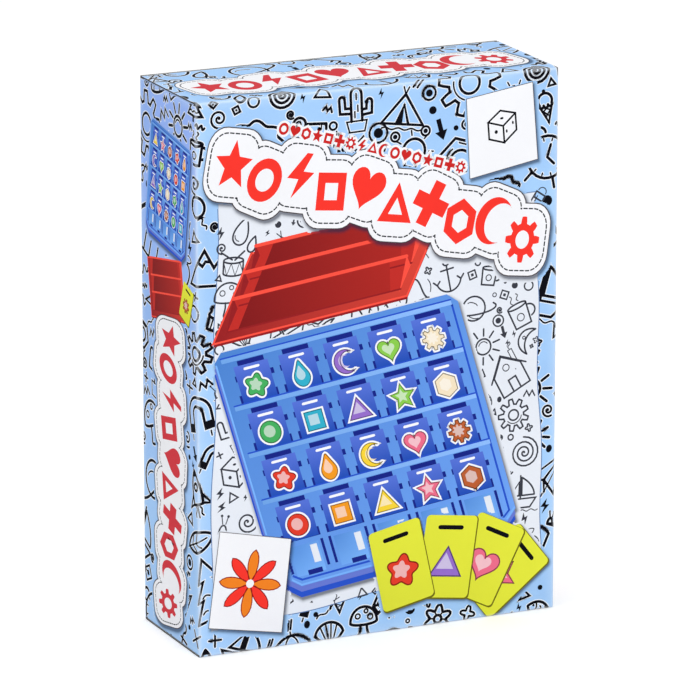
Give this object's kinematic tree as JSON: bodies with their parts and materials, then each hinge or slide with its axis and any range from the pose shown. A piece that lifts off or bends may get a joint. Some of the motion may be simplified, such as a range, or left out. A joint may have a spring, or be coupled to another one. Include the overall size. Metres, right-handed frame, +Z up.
{
  "type": "face guessing flip game",
  "caption": "Tuck-end carton that opens at both ends and holds two flip boards with hinged card doors and a deck of cards.",
  "frame": {"origin": "on the floor under the middle of the carton", "axes": "+Z up the carton, front panel faces -Y, +X to the right seen from the front"},
  "size_m": [0.185, 0.066, 0.265],
  "materials": {
    "printed_board": "glossy laminated print outside, bare grey board inside",
    "blue_plastic": "moulded, semi-gloss",
    "red_plastic": "moulded, semi-gloss",
    "blue_door_plastic": "moulded, semi-gloss, printed card pushed in",
    "red_door_plastic": "moulded, semi-gloss, printed card pushed in",
    "yellow_card": "printed card, satin"
  },
  "bodies": {
    "carton": {"carton_front_panel": "printed_board", "carton_left_panel": "printed_board", "carton_right_panel": "printed_board", "carton_back_panel": "printed_board", "carton_glue_flap": "printed_board"},
    "top_lid": {"top_lid": "printed_board"},
    "top_tuck_flap": {"top_tuck_flap": "printed_board"},
    "top_dust_flap_left": {"top_dust_flap_left": "printed_board"},
    "top_dust_flap_right": {"top_dust_flap_right": "printed_board"},
    "bottom_lid": {"bottom_lid": "printed_board"},
    "bottom_tuck_flap": {"bottom_tuck_flap": "printed_board"},
    "bottom_dust_flap_left": {"bottom_dust_flap_left": "printed_board"},
    "bottom_dust_flap_right": {"bottom_dust_flap_right": "printed_board"},
    "blue_board": {"blue_board": "blue_plastic"},
    "red_board": {"red_board": "red_plastic"},
    "card_deck": {"card_deck": "yellow_card"},
    "blue_door_r1c1": {"blue_door_r1c1": "blue_door_plastic"},
    "blue_door_r1c2": {"blue_door_r1c2": "blue_door_plastic"},
    "blue_door_r1c3": {"blue_door_r1c3": "blue_door_plastic"},
    "blue_door_r1c4": {"blue_door_r1c4": "blue_door_plastic"},
    "blue_door_r1c5": {"blue_door_r1c5": "blue_door_plastic"},
    "blue_door_r2c1": {"blue_door_r2c1": "blue_door_plastic"},
    "blue_door_r2c2": {"blue_door_r2c2": "blue_door_plastic"},
    "blue_door_r2c3": {"blue_door_r2c3": "blue_door_plastic"},
    "blue_door_r2c4": {"blue_door_r2c4": "blue_door_plastic"},
    "blue_door_r2c5": {"blue_door_r2c5": "blue_door_plastic"},
    "blue_door_r3c1": {"blue_door_r3c1": "blue_door_plastic"},
    "blue_door_r3c2": {"blue_door_r3c2": "blue_door_plastic"},
    "blue_door_r3c3": {"blue_door_r3c3": "blue_door_plastic"},
    "blue_door_r3c4": {"blue_door_r3c4": "blue_door_plastic"},
    "blue_door_r3c5": {"blue_door_r3c5": "blue_door_plastic"},
    "blue_door_r4c1": {"blue_door_r4c1": "blue_door_plastic"},
    "blue_door_r4c2": {"blue_door_r4c2": "blue_door_plastic"},
    "blue_door_r4c3": {"blue_door_r4c3": "blue_door_plastic"},
    "blue_door_r4c4": {"blue_door_r4c4": "blue_door_plastic"},
    "blue_door_r4c5": {"blue_door_r4c5": "blue_door_plastic"},
    "red_door_r1c1": {"red_door_r1c1": "red_door_plastic"},
    "red_door_r1c2": {"red_door_r1c2": "red_door_plastic"},
    "red_door_r1c3": {"red_door_r1c3": "red_door_plastic"},
    "red_door_r1c4": {"red_door_r1c4": "red_door_plastic"},
    "red_door_r1c5": {"red_door_r1c5": "red_door_plastic"},
    "red_door_r2c1": {"red_door_r2c1": "red_door_plastic"},
    "red_door_r2c2": {"red_door_r2c2": "red_door_plastic"},
    "red_door_r2c3": {"red_door_r2c3": "red_door_plastic"},
    "red_door_r2c4": {"red_door_r2c4": "red_door_plastic"},
    "red_door_r2c5": {"red_door_r2c5": "red_door_plastic"},
    "red_door_r3c1": {"red_door_r3c1": "red_door_plastic"},
    "red_door_r3c2": {"red_door_r3c2": "red_door_plastic"},
    "red_door_r3c3": {"red_door_r3c3": "red_door_plastic"},
    "red_door_r3c4": {"red_door_r3c4": "red_door_plastic"},
    "red_door_r3c5": {"red_door_r3c5": "red_door_plastic"},
    "red_door_r4c1": {"red_door_r4c1": "red_door_plastic"},
    "red_door_r4c2": {"red_door_r4c2": "red_door_plastic"},
    "red_door_r4c3": {"red_door_r4c3": "red_door_plastic"},
    "red_door_r4c4": {"red_door_r4c4": "red_door_plastic"},
    "red_door_r4c5": {"red_door_r4c5": "red_door_plastic"}
  },
  "joints": [
    {"name": "top_lid_hinge", "type": "hinge", "parent": "carton", "child": "top_lid", "pos_m": [0, -0.033, 0.265], "axis": [1, 0, 0], "range_deg": [0, 180]},
    {"name": "top_tuck_crease", "type": "hinge", "parent": "top_lid", "child": "top_tuck_flap", "pos_m": [0, 0.032, 0.265], "axis": [1, 0, 0], "range_deg": [0, 51]},
    {"name": "top_dust_left_crease", "type": "hinge", "parent": "carton", "child": "top_dust_flap_left", "pos_m": [-0.0925, 0, 0.26425], "axis": [0, -1, 0], "range_deg": [0, 145]},
    {"name": "top_dust_right_crease", "type": "hinge", "parent": "carton", "child": "top_dust_flap_right", "pos_m": [0.0925, 0, 0.26425], "axis": [0, 1, 0], "range_deg": [0, 145]},
    {"name": "bottom_lid_hinge", "type": "hinge", "parent": "carton", "child": "bottom_lid", "pos_m": [0, -0.033, 0], "axis": [-1, 0, 0], "range_deg": [0, 180]},
    {"name": "bottom_tuck_crease", "type": "hinge", "parent": "bottom_lid", "child": "bottom_tuck_flap", "pos_m": [0, 0.032, 0], "axis": [-1, 0, 0], "range_deg": [0, 51]},
    {"name": "bottom_dust_left_crease", "type": "hinge", "parent": "carton", "child": "bottom_dust_flap_left", "pos_m": [-0.0925, 0, 0.00075], "axis": [0, 1, 0], "range_deg": [0, 145]},
    {"name": "bottom_dust_right_crease", "type": "hinge", "parent": "carton", "child": "bottom_dust_flap_right", "pos_m": [0.0925, 0, 0.00075], "axis": [0, -1, 0], "range_deg": [0, 145]},
    {"name": "blue_board_lift", "type": "slide", "parent": "carton", "child": "blue_board", "axis": [0, 0, 1], "range_m": [0, 0.009]},
    {"name": "red_board_lift", "type": "slide", "parent": "carton", "child": "red_board", "axis": [0, 0, 1], "range_m": [0, 0.009]},
    {"name": "card_deck_lift", "type": "slide", "parent": "carton", "child": "card_deck", "axis": [0, 0, 1], "range_m": [0, 0.009]},
    {"name": "blue_door_r1c1_hinge", "type": "hinge", "parent": "blue_board", "child": "blue_door_r1c1", "pos_m": [0.067, -0.00445, 0.2116], "axis": [-1, 0, 0], "range_deg": [0, 160]},
    {"name": "blue_door_r1c2_hinge", "type": "hinge", "parent": "blue_board", "child": "blue_door_r1c2", "pos_m": [0.0335, -0.00445, 0.2116], "axis": [-1, 0, 0], "range_deg": [0, 160]},
    {"name": "blue_door_r1c3_hinge", "type": "hinge", "parent": "blue_board", "child": "blue_door_r1c3", "pos_m": [0, -0.00445, 0.2116], "axis": [-1, 0, 0], "range_deg": [0, 160]},
    {"name": "blue_door_r1c4_hinge", "type": "hinge", "parent": "blue_board", "child": "blue_door_r1c4", "pos_m": [-0.0335, -0.00445, 0.2116], "axis": [-1, 0, 0], "range_deg": [0, 160]},
    {"name": "blue_door_r1c5_hinge", "type": "hinge", "parent": "blue_board", "child": "blue_door_r1c5", "pos_m": [-0.067, -0.00445, 0.2116], "axis": [-1, 0, 0], "range_deg": [0, 160]},
    {"name": "blue_door_r2c1_hinge", "type": "hinge", "parent": "blue_board", "child": "blue_door_r2c1", "pos_m": [0.067, -0.00445, 0.1556], "axis": [-1, 0, 0], "range_deg": [0, 160]},
    {"name": "blue_door_r2c2_hinge", "type": "hinge", "parent": "blue_board", "child": "blue_door_r2c2", "pos_m": [0.0335, -0.00445, 0.1556], "axis": [-1, 0, 0], "range_deg": [0, 160]},
    {"name": "blue_door_r2c3_hinge", "type": "hinge", "parent": "blue_board", "child": "blue_door_r2c3", "pos_m": [0, -0.00445, 0.1556], "axis": [-1, 0, 0], "range_deg": [0, 160]},
    {"name": "blue_door_r2c4_hinge", "type": "hinge", "parent": "blue_board", "child": "blue_door_r2c4", "pos_m": [-0.0335, -0.00445, 0.1556], "axis": [-1, 0, 0], "range_deg": [0, 160]},
    {"name": "blue_door_r2c5_hinge", "type": "hinge", "parent": "blue_board", "child": "blue_door_r2c5", "pos_m": [-0.067, -0.00445, 0.1556], "axis": [-1, 0, 0], "range_deg": [0, 160]},
    {"name": "blue_door_r3c1_hinge", "type": "hinge", "parent": "blue_board", "child": "blue_door_r3c1", "pos_m": [0.067, -0.00445, 0.0996], "axis": [-1, 0, 0], "range_deg": [0, 160]},
    {"name": "blue_door_r3c2_hinge", "type": "hinge", "parent": "blue_board", "child": "blue_door_r3c2", "pos_m": [0.0335, -0.00445, 0.0996], "axis": [-1, 0, 0], "range_deg": [0, 160]},
    {"name": "blue_door_r3c3_hinge", "type": "hinge", "parent": "blue_board", "child": "blue_door_r3c3", "pos_m": [0, -0.00445, 0.0996], "axis": [-1, 0, 0], "range_deg": [0, 160]},
    {"name": "blue_door_r3c4_hinge", "type": "hinge", "parent": "blue_board", "child": "blue_door_r3c4", "pos_m": [-0.0335, -0.00445, 0.0996], "axis": [-1, 0, 0], "range_deg": [0, 160]},
    {"name": "blue_door_r3c5_hinge", "type": "hinge", "parent": "blue_board", "child": "blue_door_r3c5", "pos_m": [-0.067, -0.00445, 0.0996], "axis": [-1, 0, 0], "range_deg": [0, 160]},
    {"name": "blue_door_r4c1_hinge", "type": "hinge", "parent": "blue_board", "child": "blue_door_r4c1", "pos_m": [0.067, -0.00445, 0.0436], "axis": [-1, 0, 0], "range_deg": [0, 160]},
    {"name": "blue_door_r4c2_hinge", "type": "hinge", "parent": "blue_board", "child": "blue_door_r4c2", "pos_m": [0.0335, -0.00445, 0.0436], "axis": [-1, 0, 0], "range_deg": [0, 160]},
    {"name": "blue_door_r4c3_hinge", "type": "hinge", "parent": "blue_board", "child": "blue_door_r4c3", "pos_m": [0, -0.00445, 0.0436], "axis": [-1, 0, 0], "range_deg": [0, 160]},
    {"name": "blue_door_r4c4_hinge", "type": "hinge", "parent": "blue_board", "child": "blue_door_r4c4", "pos_m": [-0.0335, -0.00445, 0.0436], "axis": [-1, 0, 0], "range_deg": [0, 160]},
    {"name": "blue_door_r4c5_hinge", "type": "hinge", "parent": "blue_board", "child": "blue_door_r4c5", "pos_m": [-0.067, -0.00445, 0.0436], "axis": [-1, 0, 0], "range_deg": [0, 160]},
    {"name": "red_door_r1c1_hinge", "type": "hinge", "parent": "red_board", "child": "red_door_r1c1", "pos_m": [-0.067, 0.00445, 0.2116], "axis": [1, 0, 0], "range_deg": [0, 160]},
    {"name": "red_door_r1c2_hinge", "type": "hinge", "parent": "red_board", "child": "red_door_r1c2", "pos_m": [-0.0335, 0.00445, 0.2116], "axis": [1, 0, 0], "range_deg": [0, 160]},
    {"name": "red_door_r1c3_hinge", "type": "hinge", "parent": "red_board", "child": "red_door_r1c3", "pos_m": [0, 0.00445, 0.2116], "axis": [1, 0, 0], "range_deg": [0, 160]},
    {"name": "red_door_r1c4_hinge", "type": "hinge", "parent": "red_board", "child": "red_door_r1c4", "pos_m": [0.0335, 0.00445, 0.2116], "axis": [1, 0, 0], "range_deg": [0, 160]},
    {"name": "red_door_r1c5_hinge", "type": "hinge", "parent": "red_board", "child": "red_door_r1c5", "pos_m": [0.067, 0.00445, 0.2116], "axis": [1, 0, 0], "range_deg": [0, 160]},
    {"name": "red_door_r2c1_hinge", "type": "hinge", "parent": "red_board", "child": "red_door_r2c1", "pos_m": [-0.067, 0.00445, 0.1556], "axis": [1, 0, 0], "range_deg": [0, 160]},
    {"name": "red_door_r2c2_hinge", "type": "hinge", "parent": "red_board", "child": "red_door_r2c2", "pos_m": [-0.0335, 0.00445, 0.1556], "axis": [1, 0, 0], "range_deg": [0, 160]},
    {"name": "red_door_r2c3_hinge", "type": "hinge", "parent": "red_board", "child": "red_door_r2c3", "pos_m": [0, 0.00445, 0.1556], "axis": [1, 0, 0], "range_deg": [0, 160]},
    {"name": "red_door_r2c4_hinge", "type": "hinge", "parent": "red_board", "child": "red_door_r2c4", "pos_m": [0.0335, 0.00445, 0.1556], "axis": [1, 0, 0], "range_deg": [0, 160]},
    {"name": "red_door_r2c5_hinge", "type": "hinge", "parent": "red_board", "child": "red_door_r2c5", "pos_m": [0.067, 0.00445, 0.1556], "axis": [1, 0, 0], "range_deg": [0, 160]},
    {"name": "red_door_r3c1_hinge", "type": "hinge", "parent": "red_board", "child": "red_door_r3c1", "pos_m": [-0.067, 0.00445, 0.0996], "axis": [1, 0, 0], "range_deg": [0, 160]},
    {"name": "red_door_r3c2_hinge", "type": "hinge", "parent": "red_board", "child": "red_door_r3c2", "pos_m": [-0.0335, 0.00445, 0.0996], "axis": [1, 0, 0], "range_deg": [0, 160]},
    {"name": "red_door_r3c3_hinge", "type": "hinge", "parent": "red_board", "child": "red_door_r3c3", "pos_m": [0, 0.00445, 0.0996], "axis": [1, 0, 0], "range_deg": [0, 160]},
    {"name": "red_door_r3c4_hinge", "type": "hinge", "parent": "red_board", "child": "red_door_r3c4", "pos_m": [0.0335, 0.00445, 0.0996], "axis": [1, 0, 0], "range_deg": [0, 160]},
    {"name": "red_door_r3c5_hinge", "type": "hinge", "parent": "red_board", "child": "red_door_r3c5", "pos_m": [0.067, 0.00445, 0.0996], "axis": [1, 0, 0], "range_deg": [0, 160]},
    {"name": "red_door_r4c1_hinge", "type": "hinge", "parent": "red_board", "child": "red_door_r4c1", "pos_m": [-0.067, 0.00445, 0.0436], "axis": [1, 0, 0], "range_deg": [0, 160]},
    {"name": "red_door_r4c2_hinge", "type": "hinge", "parent": "red_board", "child": "red_door_r4c2", "pos_m": [-0.0335, 0.00445, 0.0436], "axis": [1, 0, 0], "range_deg": [0, 160]},
    {"name": "red_door_r4c3_hinge", "type": "hinge", "parent": "red_board", "child": "red_door_r4c3", "pos_m": [0, 0.00445, 0.0436], "axis": [1, 0, 0], "range_deg": [0, 160]},
    {"name": "red_door_r4c4_hinge", "type": "hinge", "parent": "red_board", "child": "red_door_r4c4", "pos_m": [0.0335, 0.00445, 0.0436], "axis": [1, 0, 0], "range_deg": [0, 160]},
    {"name": "red_door_r4c5_hinge", "type": "hinge", "parent": "red_board", "child": "red_door_r4c5", "pos_m": [0.067, 0.00445, 0.0436], "axis": [1, 0, 0], "range_deg": [0, 160]}
  ],
  "couplings": [
    {"joint": "top_tuck_crease", "follows": "top_lid_hinge", "ratio": 0.28},
    {"joint": "top_dust_left_crease", "follows": "top_lid_hinge", "ratio": 0.8},
    {"joint": "top_dust_right_crease", "follows": "top_lid_hinge", "ratio": 0.8},
    {"joint": "bottom_tuck_crease", "follows": "bottom_lid_hinge", "ratio": 0.28},
    {"joint": "bottom_dust_left_crease", "follows": "bottom_lid_hinge", "ratio": 0.8},
    {"joint": "bottom_dust_right_crease", "follows": "bottom_lid_hinge", "ratio": 0.8},
    {"joint": "red_board_lift", "follows": "blue_board_lift", "ratio": 1},
    {"joint": "card_deck_lift", "follows": "blue_board_lift", "ratio": 1}
  ]
}
